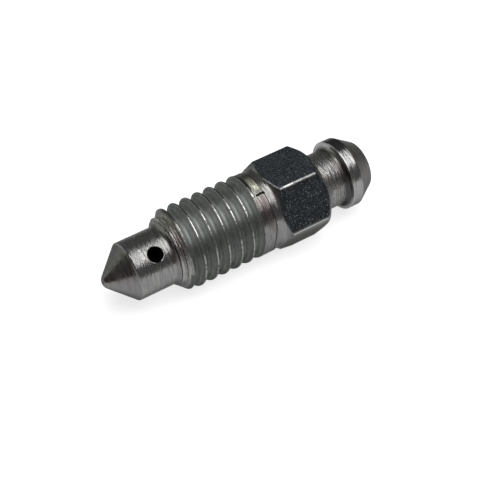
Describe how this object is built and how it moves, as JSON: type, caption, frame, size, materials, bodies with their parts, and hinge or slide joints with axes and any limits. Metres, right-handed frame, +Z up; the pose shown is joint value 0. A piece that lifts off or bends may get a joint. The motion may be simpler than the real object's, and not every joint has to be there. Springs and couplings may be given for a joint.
{
  "type": "bleeder screw",
  "caption": "Hollow hexagon-head bleed screw with a cone sealing point, a cross hole, an outside thread and a lipped hose nipple.",
  "frame": {"origin": "on the ground plane, under the middle of the screw's length, where the lower flat of the hexagon rests", "axes": "+X along the screw's axis from the sealing point to the hose nipple, +Z up, square to two flats of the hexagon"},
  "size_m": [0.0274, 0.009, 0.0078],
  "materials": {
    "zinc_plated_steel": "turned and zinc plated, satin, with darker drawn flats on the hexagon"
  },
  "bodies": {
    "root": {"bleeder_screw": "zinc_plated_steel"}
  },
  "joints": []
}
